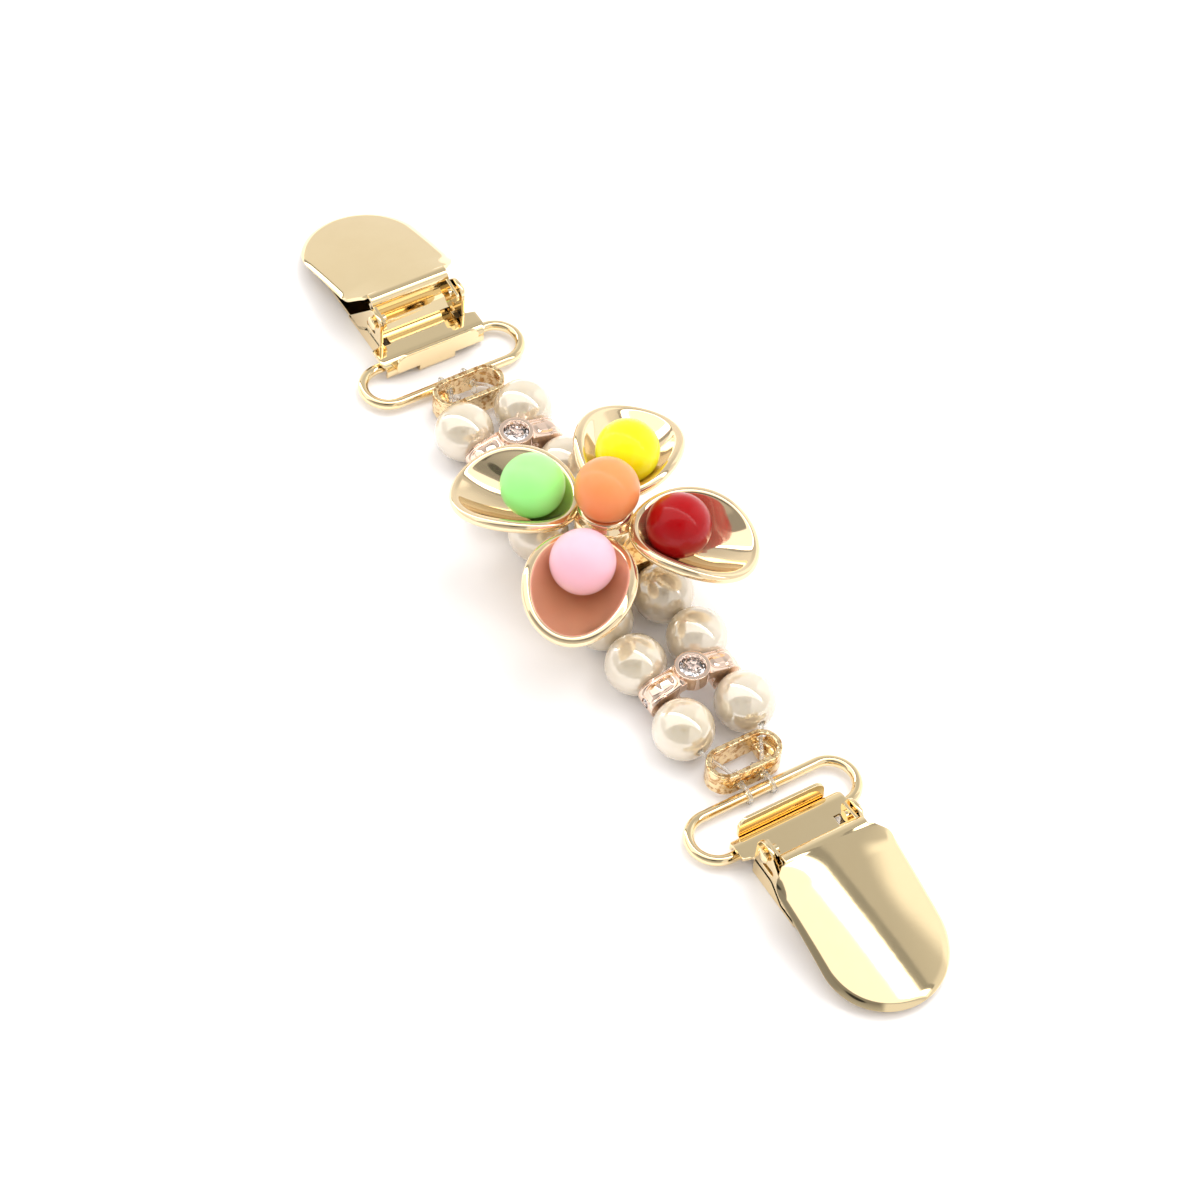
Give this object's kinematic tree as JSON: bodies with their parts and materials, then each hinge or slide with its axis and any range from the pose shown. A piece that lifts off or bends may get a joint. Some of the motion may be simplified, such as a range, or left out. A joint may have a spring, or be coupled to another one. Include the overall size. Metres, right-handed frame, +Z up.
{
  "type": "sweater clip",
  "caption": "Spring clips with hinged levers at both ends of a double row of pearls, with a flower of metal cups, each holding a coloured bead, on the middle.",
  "frame": {"origin": "middle of the strand, on the surface that the object lies on", "axes": "+X along the strand towards clip a, +Y across the two rows, +Z up from the surface through the flower"},
  "size_m": [0.1468, 0.0328, 0.0228],
  "materials": {
    "thread": "clear elastic",
    "pearl": "pearl lustre over cream",
    "rose_metal": "polished rose gold plate",
    "gold_metal": "cast and plated",
    "cup_metal": "mirror polished pale gold plate",
    "clip_metal": "mirror polished pale gold plate on steel",
    "stone": "cut and polished",
    "bead_green": "glossy",
    "bead_yellow": "glossy",
    "bead_red": "glossy",
    "bead_pink": "glossy",
    "bead_orange": "glossy"
  },
  "bodies": {
    "strand": {"thread_left": "thread", "thread_right": "thread", "pearl_01": "pearl", "pearl_02": "pearl", "pearl_03": "pearl", "pearl_04": "pearl", "pearl_05": "pearl", "pearl_06": "pearl", "pearl_07": "pearl", "pearl_08": "pearl", "pearl_09": "pearl", "pearl_10": "pearl", "pearl_11": "pearl", "pearl_12": "pearl", "spacer_a": "rose_metal", "spacer_b": "rose_metal", "spacer_stone_a": "stone", "spacer_stone_b": "stone", "end_stone_a_left": "stone", "end_stone_a_right": "stone", "end_stone_b_left": "stone", "end_stone_b_right": "stone", "flower_carrier": "gold_metal", "flower_cups": "cup_metal", "bead_green": "bead_green", "bead_yellow": "bead_yellow", "bead_red": "bead_red", "bead_pink": "bead_pink", "bead_orange": "bead_orange", "connector_a": "gold_metal", "connector_b": "gold_metal", "wire_ring_a": "clip_metal", "wire_ring_b": "clip_metal"},
    "clip_a": {"clip_base_a": "clip_metal"},
    "clip_b": {"clip_base_b": "clip_metal"},
    "lever_a": {"clip_lever_a": "clip_metal"},
    "lever_b": {"clip_lever_b": "clip_metal"}
  },
  "joints": [
    {"name": "clip_swing_a", "type": "hinge", "parent": "strand", "child": "clip_a", "pos_m": [0.04528, 0, 0.0013], "axis": [0, -1, 0], "range_deg": [0, 75]},
    {"name": "clip_swing_b", "type": "hinge", "parent": "strand", "child": "clip_b", "pos_m": [-0.04528, 0, 0.0013], "axis": [0, 1, 0], "range_deg": [0, 75]},
    {"name": "lever_hinge_a", "type": "hinge", "parent": "clip_a", "child": "lever_a", "pos_m": [0.04928, 0, 0.006], "axis": [0, -1, 0], "range_deg": [0, 85]},
    {"name": "lever_hinge_b", "type": "hinge", "parent": "clip_b", "child": "lever_b", "pos_m": [-0.04928, 0, 0.006], "axis": [0, 1, 0], "range_deg": [0, 85]}
  ]
}
